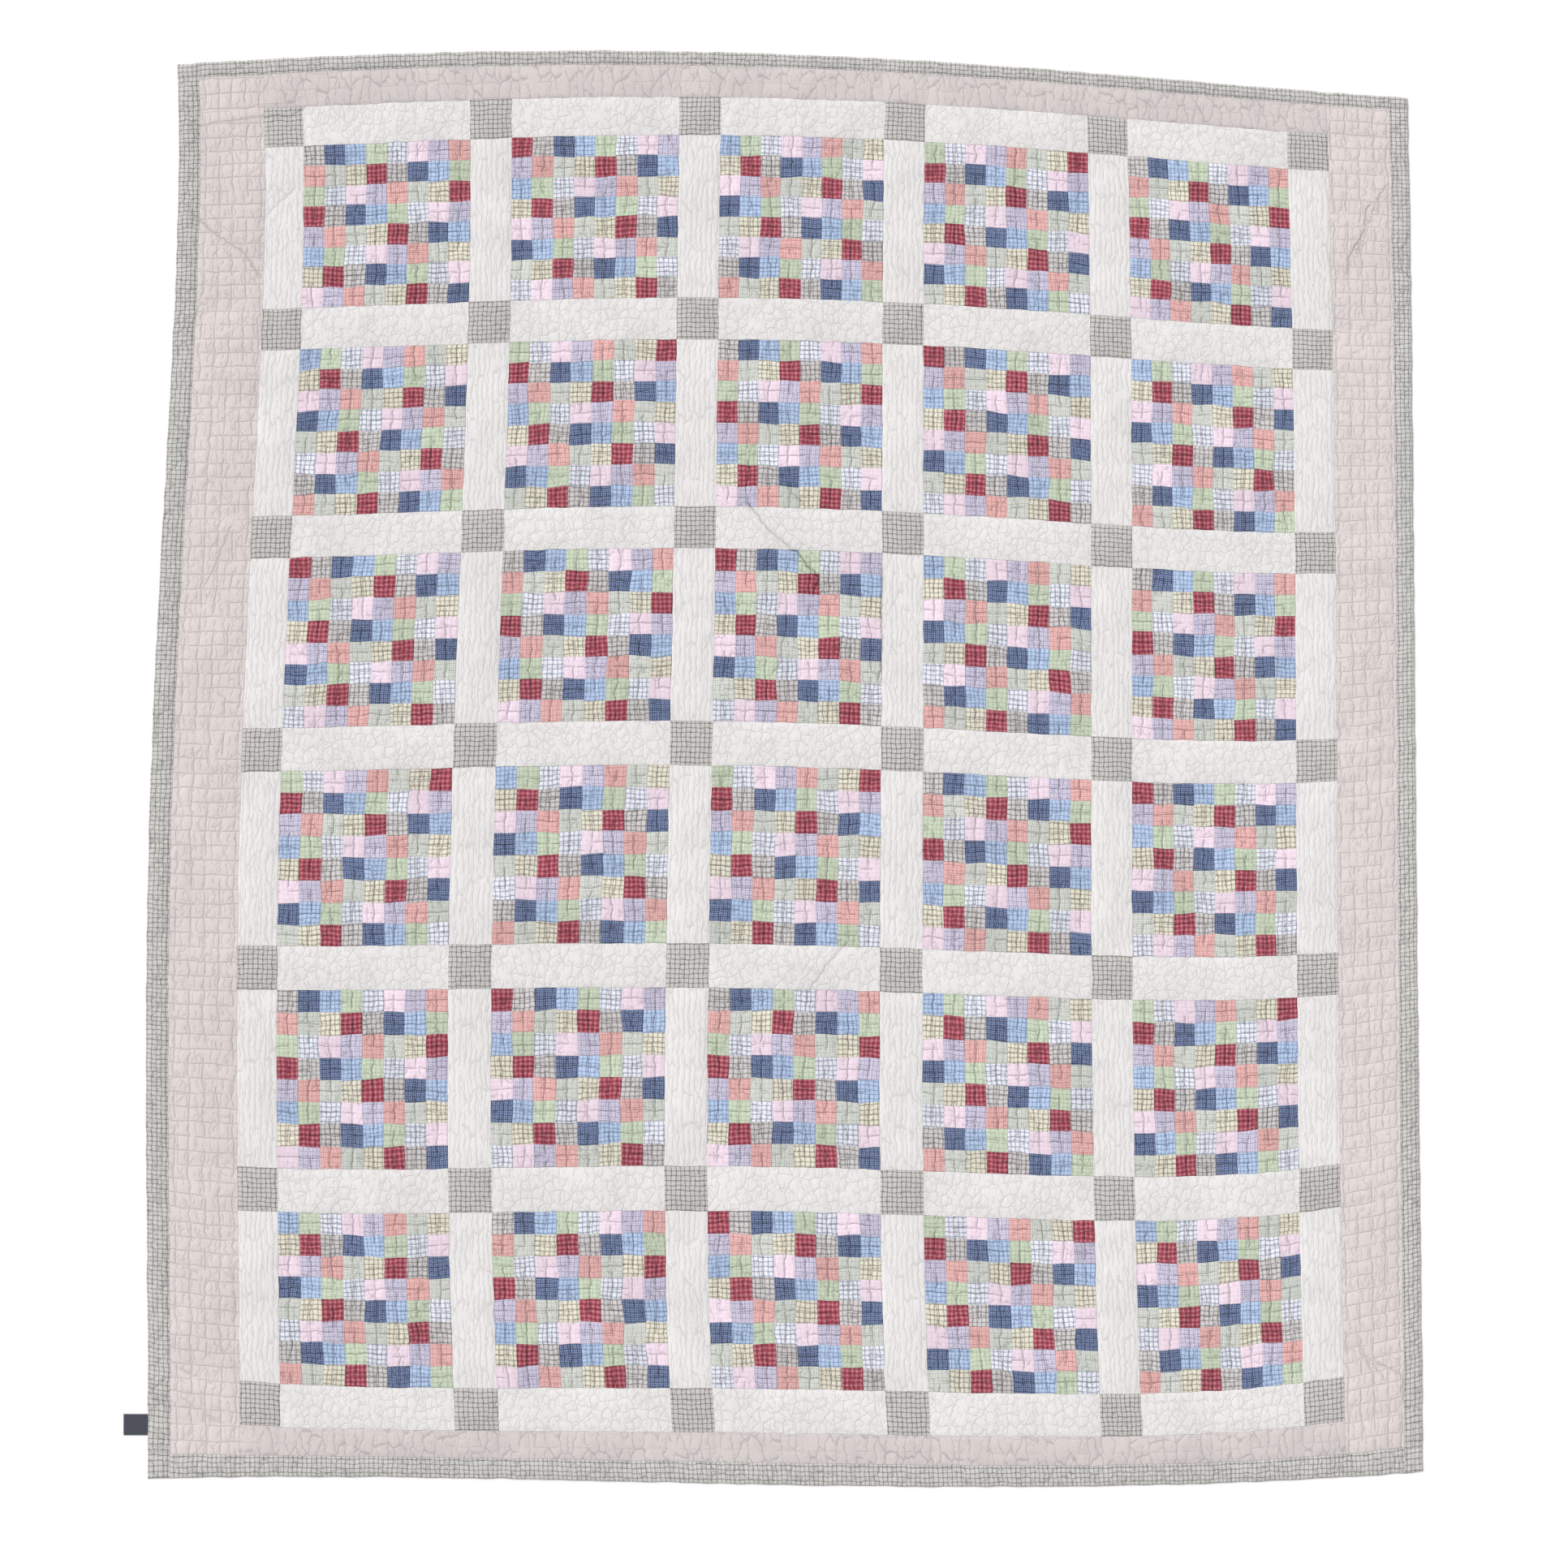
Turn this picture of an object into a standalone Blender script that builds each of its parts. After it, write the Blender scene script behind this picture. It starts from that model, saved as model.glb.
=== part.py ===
"""A patchwork quilt, lying face up where it was spread out by hand, its top edge toward +Y.

Metres, +Z up. The origin is on the surface, under the middle of the quilt's outline.

The quilt is drawn as its flat pattern first: u runs from the left edge to the right edge,
v from the top edge down to the bottom one. lie(u, v) then gives the place where that point
of the pattern lies, because a quilt that is spread by hand leans, bows and draws in. Every
piece is a rectangle of the pattern between seam lines, so neighbours meet along their seams.
"""

import math

import bmesh
import bpy
import numpy as np
from mathutils import Vector

# Cut sizes of the pattern, seam to seam
PATCH = 0.0381
PATCHES_PER_BLOCK_SIDE = 8
BLOCK = PATCHES_PER_BLOCK_SIDE * PATCH
SASH = 0.0762
SIDE_BORDER = 0.1143
END_BORDER = 0.0508
BINDING = {"left": 0.039, "right": 0.034, "top": 0.025, "bottom": 0.037}
# The left and top borders are sewn this much wider, at the cost of the sash strip beside them
TAKEN_IN = 0.0055
COLUMNS = 5
ROWS = 6

# Thickness of the quilted layers
SEAM_HEIGHT = 0.0032
CROWN_HEIGHT = 0.0060
UNEVENNESS = 0.12
UNEVEN_TURN_ACROSS = 2.4
UNEVEN_TURN_DOWN = 1.7

# The woven label, folded and sewn in under the left edge
LABEL_LENGTH = 0.0435
LABEL_WIDTH = 0.0378
LABEL_THICKNESS = 0.0012
LABEL_FROM_BOTTOM = 0.078
LABEL_CORNER = 0.0004

GAP = 0.0003
FACET = 0.1
SHARP_EDGE = math.radians(40)
MILLIMETRE = 0.001

# How the quilt lies, in millimetres from the middle of the pattern's layout. Each line runs
# the quilt's full height, and x is given at five places, evenly spaced along it.
#                  top, upper, middle, lower, bottom
LINES_DOWN = {
    "left edge": (-1065, -1080, -1112, -1122, -1119),
    "sash 1": (-882, -887, -917, -925, -921),
    "sash 2": (-507, -511, -533, -543, -524),
    "sash 3": (-127, -135, -145, -155, -135),
    "sash 4": (240, 233, 232, 231, 250),
    "sash 5": (597, 607, 608, 611, 631),
    "sash 6": (953, 969, 974, 978, 992),
    "right edge": (1137, 1146, 1151, 1157, 1165),
}
# Each line runs the quilt's full width, and y is given at five places.
#                  left, mid left, middle, mid right, right
LINES_ACROSS = {
    "top edge": (1261, 1284, 1278, 1244, 1201),
    "sash 1": (1142, 1164, 1167, 1135, 1098),
    "sash 2": (785, 799, 804, 774, 747),
    "sash 3": (415, 426, 429, 399, 394),
    "sash 4": (36, 42, 43, 17, 31),
    "sash 5": (-350, -355, -356, -374, -351),
    "sash 6": (-737, -756, -754, -771, -713),
    "sash 7": (-1116, -1149, -1151, -1158, -1093),
    "bottom edge": (-1272, -1271, -1283, -1284, -1259),
}

# Cloth colours: name, red, green, blue, roughness
CLOTHS = (
    ("pieced_cotton", 0.50, 0.45, 0.47, 0.9),
    ("white_sashing", 0.80, 0.78, 0.75, 0.9),
    ("pink_border", 0.72, 0.62, 0.61, 0.9),
    ("plaid_binding", 0.58, 0.58, 0.56, 0.9),
    ("navy_label", 0.04, 0.05, 0.10, 0.7),
)


def seam_lines(first_binding, border, count, last_binding):
    """The seam lines of one direction of the pattern, from one edge to the other."""
    widths = [first_binding, border + TAKEN_IN, SASH - TAKEN_IN]
    widths += [BLOCK, SASH] * count + [border, last_binding]
    return np.concatenate(([0.0], np.cumsum(widths)))


U_SEAMS = seam_lines(BINDING["left"], SIDE_BORDER, COLUMNS, BINDING["right"])
V_SEAMS = seam_lines(BINDING["top"], END_BORDER, ROWS, BINDING["bottom"])

# The lines of the two tables above: both edges, and between them the middle of every sash,
# half a full sash before the block after it
U_LINES = np.concatenate(([0.0], U_SEAMS[3:-2:2] - SASH / 2, [U_SEAMS[-1]]))
V_LINES = np.concatenate(([0.0], V_SEAMS[3:-2:2] - SASH / 2, [V_SEAMS[-1]]))


def along(places, share):
    """Where a line is, a share of the way along it: the smooth curve through its places."""
    stations = np.linspace(0.0, 1.0, len(places))
    return np.polyval(np.polyfit(stations, places, len(places) - 1), share) * MILLIMETRE


def lie(u, v):
    """The place on the surface of a point of the pattern."""
    down = [along(places, v / V_SEAMS[-1]) for places in LINES_DOWN.values()]
    across = [along(places, u / U_SEAMS[-1]) for places in LINES_ACROSS.values()]
    return float(np.interp(u, U_LINES, down)), float(np.interp(v, V_LINES, across))


def swell(seams, place):
    """How far a place stands up between its two seams, from 0 to 1, and its panel's number."""
    panel = int(np.clip(np.searchsorted(seams, place) - 1, 0, len(seams) - 2))
    share = (place - seams[panel]) / (seams[panel + 1] - seams[panel])
    return math.sqrt(max(0.0, 4.0 * share * (1.0 - share))), panel


def height(u, v):
    """The thickness of the quilt: thin along the seams and puffed between them."""
    swell_u, panel_u = swell(U_SEAMS, u)
    swell_v, panel_v = swell(V_SEAMS, v)
    turn = UNEVEN_TURN_ACROSS * panel_u + UNEVEN_TURN_DOWN * panel_v
    uneven = 1.0 + UNEVENNESS * math.sin(turn)
    return SEAM_HEIGHT + (CROWN_HEIGHT - SEAM_HEIGHT) * swell_u * swell_v * uneven


def grid_lines(seams, first, last):
    """Lines across panels first to last, with the outer two drawn in by half a gap."""
    lines = [seams[first]]
    for start, end in zip(seams[first:last + 1], seams[first + 1:last + 2]):
        facets = max(2, round((end - start) / FACET))
        lines.extend(np.linspace(start, end, facets + 1)[1:])
    lines[0] += GAP / 2
    lines[-1] -= GAP / 2
    return lines


def make_cloth(name, red, green, blue, roughness):
    """A plain Principled material for one kind of cloth."""
    material = bpy.data.materials.new(name)
    material.use_nodes = True
    material.diffuse_color = (red, green, blue, 1.0)
    shader = material.node_tree.nodes["Principled BSDF"]
    shader.inputs["Base Color"].default_value = (red, green, blue, 1.0)
    shader.inputs["Roughness"].default_value = roughness
    shader.inputs["Metallic"].default_value = 0.0
    return material


def add_object(name, shape, cloth, collection, parent):
    """A finished bmesh as a named object in the quilt's collection."""
    mesh = bpy.data.meshes.new(name)
    shape.to_mesh(mesh)
    shape.free()
    mesh.materials.append(cloth)
    piece = bpy.data.objects.new(name, mesh)
    piece.parent = parent
    collection.objects.link(piece)
    return piece


def quilted_piece(name, u_panels, v_panels, cloth, collection, parent):
    """One sewn piece: a grid over its panels, extruded up to the quilt's thickness."""
    u_lines = grid_lines(U_SEAMS, *u_panels)
    v_lines = grid_lines(V_SEAMS, *v_panels)
    columns, rows = len(u_lines) - 1, len(v_lines) - 1
    shape = bmesh.new()
    bmesh.ops.create_grid(shape, x_segments=columns, y_segments=rows, size=0.5)
    pattern = []
    for vertex in shape.verts:
        u = u_lines[round((vertex.co.x + 0.5) * columns)]
        v = v_lines[round((0.5 - vertex.co.y) * rows)]
        pattern.append((vertex, u, v))
    for vertex, u, v in pattern:
        vertex.co = (*lie(u, v), height(u, v))
    raised = bmesh.ops.extrude_face_region(shape, geom=shape.faces[:])
    for vertex in raised["geom"]:
        if isinstance(vertex, bmesh.types.BMVert):
            vertex.co.z = 0.0
    bmesh.ops.recalc_face_normals(shape, faces=shape.faces[:])
    piece = add_object(name, shape, cloth, collection, parent)
    piece.data.shade_smooth()
    piece.data.set_sharp_from_angle(angle=SHARP_EDGE)
    return piece


def label_piece(name, cloth, collection, parent):
    """The blank label tab, square to the left edge where it is sewn in."""
    v = V_SEAMS[-1] - LABEL_FROM_BOTTOM
    upper = Vector(lie(-GAP / 2, v - LABEL_WIDTH / 2))
    lower = Vector(lie(-GAP / 2, v + LABEL_WIDTH / 2))
    edge = upper - lower
    shape = bmesh.new()
    bmesh.ops.create_cube(shape, size=1.0)
    bmesh.ops.scale(shape, verts=shape.verts[:], vec=(LABEL_LENGTH, LABEL_WIDTH, LABEL_THICKNESS))
    label = add_object(name, shape, cloth, collection, parent)
    label.rotation_euler.z = math.atan2(edge.y, edge.x) - math.pi / 2
    middle = (upper + lower) / 2
    out = Vector((-edge.y, edge.x)).normalized()
    middle += out * LABEL_LENGTH / 2
    label.location = (middle.x, middle.y, LABEL_THICKNESS / 2)
    rounding = label.modifiers.new("rounded edges", "BEVEL")
    rounding.width = LABEL_CORNER
    rounding.segments = 1
    return label


def bounds(pieces):
    """The lowest and highest corners of all the pieces together."""
    bpy.context.view_layer.update()
    corners = np.array([piece.matrix_world @ Vector(corner)
                        for piece in pieces for corner in piece.bound_box])
    return corners.min(axis=0), corners.max(axis=0)


for old in list(bpy.data.objects):
    bpy.data.objects.remove(old, do_unlink=True)

quilt = bpy.data.collections.new("patchwork_quilt")
bpy.context.scene.collection.children.link(quilt)
layout = bpy.data.objects.new("layout", None)
quilt.objects.link(layout)
cloths = {row[0]: make_cloth(*row) for row in CLOTHS}
pieces = []

# Panel numbers: 0 binding, 1 border, then sash and block in turn, and border and binding last
last_u = len(U_SEAMS) - 2
last_v = len(V_SEAMS) - 2

# Each block is sewn to the sash strip at its left, and the last one in a row to its right one too
for row in range(ROWS):
    block_v = 3 + 2 * row
    for column in range(COLUMNS):
        block_u = 3 + 2 * column
        end_u = block_u + (1 if column == COLUMNS - 1 else 0)
        pieces.append(quilted_piece(f"block_{row + 1}_{column + 1}", (block_u - 1, end_u),
                                    (block_v, block_v), cloths["pieced_cotton"], quilt, layout))

# Rows of sash strips and corner squares between the rows of blocks
for row in range(ROWS + 1):
    sash_v = 2 + 2 * row
    pieces.append(quilted_piece(f"sash_row_{row + 1}", (2, last_u - 2), (sash_v, sash_v),
                                cloths["white_sashing"], quilt, layout))

# Borders and binding: name, u panels, v panels, cloth
EDGE_PIECES = (
    ("border_left", (1, 1), (1, last_v - 1), "pink_border"),
    ("border_right", (last_u - 1, last_u - 1), (1, last_v - 1), "pink_border"),
    ("border_top", (2, last_u - 2), (1, 1), "pink_border"),
    ("border_bottom", (2, last_u - 2), (last_v - 1, last_v - 1), "pink_border"),
    ("binding_left", (0, 0), (0, last_v), "plaid_binding"),
    ("binding_right", (last_u, last_u), (0, last_v), "plaid_binding"),
    ("binding_top", (1, last_u - 1), (0, 0), "plaid_binding"),
    ("binding_bottom", (1, last_u - 1), (last_v, last_v), "plaid_binding"),
)
for name, u_panels, v_panels, cloth in EDGE_PIECES:
    pieces.append(quilted_piece(name, u_panels, v_panels, cloths[cloth], quilt, layout))

pieces.append(label_piece("label", cloths["navy_label"], quilt, layout))

lowest, highest = bounds(pieces)
layout.location.x = -(lowest[0] + highest[0]) / 2
layout.location.y = -(lowest[1] + highest[1]) / 2
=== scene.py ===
"""Looks of the patchwork quilt: quilted cloth over its plain solids, its cottons, light and camera.

Metres, except in the tables of lines, stripes and creases, in the folds and in the shaders, which
are in millimetres of the pattern. Each cloth piece is drawn on the same flat pattern as its CAD
solid, u from the left edge and v from the top edge, and lie(u, v) lays it down. The stitch lines
and wrinkles are one set of node functions, so the shape and the shading share them.
"""

import math
from collections import namedtuple

import bmesh
import bpy
import numpy as np
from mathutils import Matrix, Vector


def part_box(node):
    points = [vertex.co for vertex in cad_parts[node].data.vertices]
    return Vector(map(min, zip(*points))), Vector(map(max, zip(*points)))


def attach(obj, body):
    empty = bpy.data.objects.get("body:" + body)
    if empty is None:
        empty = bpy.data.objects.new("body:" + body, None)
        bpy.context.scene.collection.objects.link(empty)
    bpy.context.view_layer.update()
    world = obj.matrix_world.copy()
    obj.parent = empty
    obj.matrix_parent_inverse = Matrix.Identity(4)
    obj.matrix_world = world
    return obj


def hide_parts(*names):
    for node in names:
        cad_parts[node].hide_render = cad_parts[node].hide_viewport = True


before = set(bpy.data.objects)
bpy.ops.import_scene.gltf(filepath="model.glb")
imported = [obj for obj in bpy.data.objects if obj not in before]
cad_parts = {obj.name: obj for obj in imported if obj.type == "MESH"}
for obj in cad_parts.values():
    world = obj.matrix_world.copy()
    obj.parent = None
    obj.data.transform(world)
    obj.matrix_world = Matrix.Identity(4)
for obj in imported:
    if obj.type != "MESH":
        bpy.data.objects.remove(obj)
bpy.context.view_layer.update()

# The pattern, as it is cut and sewn in the CAD model
PATCH = 0.0381
PATCHES = 8
BLOCK = PATCHES * PATCH
SASH = 0.0762
SIDE_BORDER = 0.1143
END_BORDER = 0.0508
BINDING = {"left": 0.039, "right": 0.034, "top": 0.025, "bottom": 0.037}
TAKEN_IN = 0.0055
COLUMNS = 5
ROWS = 6
SEAM_HEIGHT = 0.0032
CROWN_HEIGHT = 0.0060
UNEVENNESS = 0.12
UNEVEN_TURN_ACROSS = 2.4
UNEVEN_TURN_DOWN = 1.7
LABEL_LENGTH = 0.0435
LABEL_WIDTH = 0.0378
LABEL_FROM_BOTTOM = 0.078
GAP = 0.0003
MM = 0.001

# How the quilt lies: each line's places, evenly spaced along it, in mm
#                  top, upper, middle, lower, bottom
LINES_DOWN = {
    "left edge": (-1065, -1080, -1112, -1122, -1119),
    "sash 1": (-882, -887, -917, -925, -921),
    "sash 2": (-507, -511, -533, -543, -524),
    "sash 3": (-127, -135, -145, -155, -135),
    "sash 4": (240, 233, 232, 231, 250),
    "sash 5": (597, 607, 608, 611, 631),
    "sash 6": (953, 969, 974, 978, 992),
    "right edge": (1137, 1146, 1151, 1157, 1165),
}
#                  left, mid left, middle, mid right, right
LINES_ACROSS = {
    "top edge": (1261, 1284, 1278, 1244, 1201),
    "sash 1": (1142, 1164, 1167, 1135, 1098),
    "sash 2": (785, 799, 804, 774, 747),
    "sash 3": (415, 426, 429, 399, 394),
    "sash 4": (36, 42, 43, 17, 31),
    "sash 5": (-350, -355, -356, -374, -351),
    "sash 6": (-737, -756, -754, -771, -713),
    "sash 7": (-1116, -1149, -1151, -1158, -1093),
    "bottom edge": (-1272, -1271, -1283, -1284, -1259),
}

# Mesh spacing, and the seam between two patches
PATCH_CELLS = 10
STEP = 0.0043
FINE_STEP = 0.0027
SEAM_HALF = 0.00035
RIM = (0.0, 0.0006, 0.0015, 0.0028)
RIM_REACH = 0.0034
RIM_LOW = 0.0012
LOWEST_TOP = 0.0012
EASE_IN = 0.007

# Hand sewing: how far seams wander, and how far patches are out of step and out of square
WANDER = 0.0010
JOG = 0.0017
STRAY = 0.0014
TURN = math.radians(2.5)

# The patchwork: the cloth number at row r, column c of a block is (start + 7 r + c) mod 11
ROW_STEP = 7
BLOCK_STARTS = (
    (1, 0, 3, 4, 1),
    (3, 4, 1, 0, 3),
    (0, 1, 0, 3, 1),
    (4, 3, 4, 1, 0),
    (1, 0, 1, 3, 4),
    (3, 1, 0, 4, 3),
)

# Yarn-dyed stripes, woven both ways: spacing, place, width (mm), sRGB colour, strength, and the
# share of that strength that shows where a stripe crosses no other of its kind
Stripe = namedtuple("Stripe", "spacing place width colour strength single", defaults=(0.7,))
# The eleven patch cottons in their order: name, sRGB ground, stripes
PATCH_COTTONS = (
    ("burgundy", (176, 78, 94), (
        Stripe(8.2, 0.0, 2.2, (98, 26, 42), 0.85),
        Stripe(8.2, 4.1, 2.4, (232, 172, 182), 0.7, 0.25))),
    ("grey_plaid", (213, 209, 208), (
        Stripe(8.5, 0.0, 2.2, (90, 82, 84), 0.9),)),
    ("navy", (86, 106, 150), (
        Stripe(7.4, 1.8, 2.2, (26, 36, 70), 0.9),
        Stripe(3.7, 0.0, 1.2, (206, 214, 234), 0.56, 0.4))),
    ("light_blue", (188, 208, 238), (
        Stripe(7.6, 0.0, 1.9, (76, 100, 144), 0.8),)),
    ("sage_green", (207, 218, 194), (
        Stripe(7.9, 0.0, 1.5, (136, 146, 124), 0.65),)),
    ("navy_check", (240, 242, 252), (
        Stripe(8.4, 0.0, 2.4, (84, 90, 116), 0.82),)),
    ("shell_pink", (248, 227, 241), (
        Stripe(8.2, 0.0, 1.4, (196, 166, 186), 0.4),)),
    ("lavender", (220, 214, 234), (
        Stripe(8.0, 0.0, 1.7, (112, 110, 144), 0.82),
        Stripe(8.0, 4.0, 1.2, (160, 134, 164), 0.55))),
    ("coral", (241, 191, 188), (
        Stripe(8.0, 0.0, 1.6, (160, 92, 90), 0.75),
        Stripe(8.0, 4.0, 1.1, (190, 126, 124), 0.55))),
    ("pale_sage", (221, 224, 217), (
        Stripe(8.0, 0.0, 1.4, (136, 136, 128), 0.7),
        Stripe(8.0, 4.0, 1.0, (164, 164, 156), 0.55))),
    ("cream_check", (237, 231, 213), (
        Stripe(8.4, 0.0, 2.2, (92, 86, 70), 0.86),)),
)
WHITE = (238, 235, 234)
PINK = (226, 216, 214)
PINK_ENDS = (219, 210, 208)
CORNER_CHECK = ((211, 208, 205), (
    Stripe(8.4, 0.0, 2.0, (80, 75, 74), 0.95),
    Stripe(8.4, 4.2, 1.0, (178, 173, 170), 0.5)))
BINDING_CHECK = ((216, 213, 210), (
    Stripe(8.2, 0.0, 2.0, (84, 80, 78), 0.85),
    Stripe(8.2, 4.1, 0.9, (186, 187, 182), 0.5)))
BACKING = (226, 222, 214)
CLOTH_TONE = 0.92
MOTTLE = 0.16
MOTTLE_SIZE = 90.0
TINT = 0.07
YARN_MM = 0.5
SLUB_MM = 0.9
SLUB_STRETCH = 0.08
SLUB_THIN, SLUB_THICK, THIN_SHOWN = 0.3, 0.6, 0.6
STRIPE_BLUR = 0.55
# How the weave wanders: the size of each wave, and how far it reaches, in mm
WEAVE_BENDS = ((19.0, 1.9), (6.0, 0.8))
CRACK_CORE = 0.2
DENT_REACH = 2.4
DENT_DEPTH = 0.65

# The label: ribbon colours, half the gap inside its fold, and mesh steps
NAVY_LABEL = (64, 67, 80)
LABEL_SELVEDGE = (120, 122, 134)
SELVEDGE_IN, SELVEDGE_OUT = 1.3, 0.9
LABEL_PLY = 0.00042
LABEL_FOLD = 0.00034
LABEL_LIFT = 0.00003
LABEL_STEPS = 30
LABEL_TURN_STEPS = 9
LABEL_ROWS = 25
LABEL_STEP_MM = 1.4
RIB_MM = 0.7

# Camera and light. The picture is square, and takes in this much of the surface.
VIEW_WIDTH = 2.809
VIEW_CENTRE = (0.0192, -0.0276)
CAMERA_HEIGHT = 5.2
SENSOR_MM = 36.0
FLOOR_SIZE = 100.0
FLOOR_DROP = 0.0002
FLOOR_TONE = 0.95
LAMP_STRENGTH = 2.4
LAMP_SPREAD = math.radians(28)
LAMP_ELEVATION = math.radians(42)
LAMP_BEARING = math.radians(228)
FILL_STRENGTH = 0.54
SIDE_FILL = {"place": (3.2, -0.1, 1.7), "size": 1.6, "power": 4.0, "colour": (0.92, 0.96, 1.0)}

# Random draws, how far a cotton's checks may be offset, and how the meshes are finished
SEED = 30
OFFSETS_MM = 60
SAMPLES = 60
SHARP_EDGE = math.radians(50)

# The larger creases: how open, and the points that each runs through, in mm of the pattern (u, v).
# Shade is painted along them, darker in the patches than in the pale strips, and they fade out at both
# ends.
CREASE_LIMIT = 20.0
CREASE_FADE = 14.0
# How much shade is painted into the creases, in the patches and in the pale strips
PATCH_CREASE_SHADE = 0.72
STRIP_CREASE_SHADE = 0.36
CREASES = (
    (0.9, ((1040, 826), (1059, 841), (1086, 877), (1113, 897), (1131, 914), (1146, 922), (1160, 939),
           (1175, 952), (1180, 962), (1175, 975), (1168, 1000))),
    (0.6, ((1126, 785), (1131, 811), (1146, 823), (1160, 842))),
    (0.6, ((1122, 1050), (1115, 1089), (1113, 1112), (1090, 1140))),
    # A dip along the seam at the right of block 3, 3, with its shadow painted in like a crease's
    (0.9, ((1298, 930), (1297, 996), (1298, 1068), (1296, 1117), (1288, 1145))),
    (0.7, ((1165, 1685), (1206, 1627), (1245, 1585))),
    (0.8, ((20, 265), (68, 311), (102, 338), (124, 352), (160, 405))),
    (0.7, ((10, 104), (54, 105), (95, 101), (152, 96), (209, 97), (245, 80))),
    (0.5, ((145, 300), (181, 260), (220, 225))),
    (0.6, ((125, 845), (103, 916), (75, 975))),
    (0.6, ((46, 2346), (71, 2357), (97, 2363))),
    (0.6, ((95, 2419), (116, 2433), (137, 2439))),
    (0.9, ((2215, 205), (2203, 225), (2199, 262), (2189, 283), (2175, 303), (2168, 320), (2165, 360))),
    (0.7, ((2245, 165), (2228, 195), (2222, 240))),
    (0.6, ((2220, 240), (2206, 252), (2188, 320))),
    (0.8, ((2190, 2345), (2246, 2383), (2249, 2435))),
    (0.7, ((2168, 2312), (2189, 2368), (2192, 2400))),
)


def seam_lines(first_binding, border, count, last_binding):
    """The seam lines of one direction of the pattern, from one edge to the other."""
    widths = [first_binding, border + TAKEN_IN, SASH - TAKEN_IN]
    widths += [BLOCK, SASH] * count + [border, last_binding]
    return np.concatenate(([0.0], np.cumsum(widths)))


U_SEAMS = seam_lines(BINDING["left"], SIDE_BORDER, COLUMNS, BINDING["right"])
V_SEAMS = seam_lines(BINDING["top"], END_BORDER, ROWS, BINDING["bottom"])
U_LINES = np.concatenate(([0.0], U_SEAMS[3:-2:2] - SASH / 2, [U_SEAMS[-1]]))
V_LINES = np.concatenate(([0.0], V_SEAMS[3:-2:2] - SASH / 2, [V_SEAMS[-1]]))


def between(stations, lines, along, across):
    """Where a point lies between the two nearest of a set of lines, each curved through its places."""
    curves = []
    for places in lines.values():
        share = np.linspace(0.0, 1.0, len(places))
        curves.append(np.polyval(np.polyfit(share, places, len(places) - 1), along) * MM)
    curves = np.array(curves)
    left = np.clip(np.searchsorted(stations, across) - 1, 0, len(stations) - 2)
    share = (across - stations[left]) / (stations[left + 1] - stations[left])
    here = np.arange(len(across))
    return curves[left, here] * (1 - share) + curves[left + 1, here] * share


def lie(u, v):
    """The places on the surface of points of the pattern."""
    x = between(U_LINES, LINES_DOWN, v / V_SEAMS[-1], u)
    y = between(V_LINES, LINES_ACROSS, u / U_SEAMS[-1], v)
    return x, y


def seam_shares(seams, place):
    """Each place's panel, its share across it, and its distance to the nearest seam."""
    panel = np.clip(np.searchsorted(seams, place) - 1, 0, len(seams) - 2)
    start, end = seams[panel], seams[panel + 1]
    share = (place - start) / (end - start)
    return panel, share, np.minimum(place - start, end - place)


def smooth(share):
    """An eased step from 0 to 1."""
    share = np.clip(share, 0.0, 1.0)
    return share * share * (3.0 - 2.0 * share)


def height(u, v):
    """The quilt's thickness, as in the CAD model, with its outer edge rolled over."""
    panel_u, share_u, _ = seam_shares(U_SEAMS, u)
    panel_v, share_v, _ = seam_shares(V_SEAMS, v)
    swell = np.sqrt(np.clip(4 * share_u * (1 - share_u), 0, 1))
    swell = swell * np.sqrt(np.clip(4 * share_v * (1 - share_v), 0, 1))
    turn = UNEVEN_TURN_ACROSS * panel_u + UNEVEN_TURN_DOWN * panel_v
    uneven = 1.0 + UNEVENNESS * np.sin(turn)
    thick = SEAM_HEIGHT + (CROWN_HEIGHT - SEAM_HEIGHT) * swell * uneven
    edge = np.minimum.reduce([u, U_SEAMS[-1] - u, v, V_SEAMS[-1] - v])
    roll = np.clip(edge / RIM_REACH, 0.0, 1.0)
    return RIM_LOW + (thick - RIM_LOW) * np.sqrt(1.0 - (1.0 - roll) ** 2)


def relief_share(u, v):
    """How much of the quilting's relief shows: none along the seams between pieces."""
    _, _, near_u = seam_shares(U_SEAMS, u)
    _, _, near_v = seam_shares(V_SEAMS, v)
    return smooth(np.minimum(near_u, near_v) / EASE_IN)


WAVE_LENGTHS = (0.052, 0.083, 0.121, 0.19, 0.31)
chance = np.random.default_rng(SEED)
WAVES = [(2 * math.pi / length, *chance.uniform(0, 2 * math.pi, 3)) for length in WAVE_LENGTHS]


def wander(u, v):
    """Small smooth shifts of the whole pattern, so that no seam is quite straight."""
    shift_u = np.zeros_like(u)
    shift_v = np.zeros_like(v)
    for wave, turn, phase_u, phase_v in WAVES:
        ahead = u * math.cos(turn) + v * math.sin(turn)
        aside = v * math.cos(turn) - u * math.sin(turn)
        shift_u += np.sin(wave * ahead + phase_u) * np.cos(wave * 0.7 * aside + phase_v)
        shift_v += np.sin(wave * aside + phase_v) * np.cos(wave * 0.7 * ahead + phase_u)
    amount = WANDER / math.sqrt(len(WAVES))
    return shift_u * amount, shift_v * amount


# The layout's shift, from one block's corner as the frame has it
down_side = np.linspace(V_SEAMS[3], V_SEAMS[4], SAMPLES)
low_side = np.linspace(U_SEAMS[2], U_SEAMS[4], SAMPLES)
block_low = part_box("block_1_1")[0]
SHIFT = (
    block_low[0] - lie(np.full(SAMPLES, U_SEAMS[2] + GAP / 2), down_side)[0].min(),
    block_low[1] - lie(low_side, np.full(SAMPLES, V_SEAMS[4] - GAP / 2))[1].min(),
)


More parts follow.
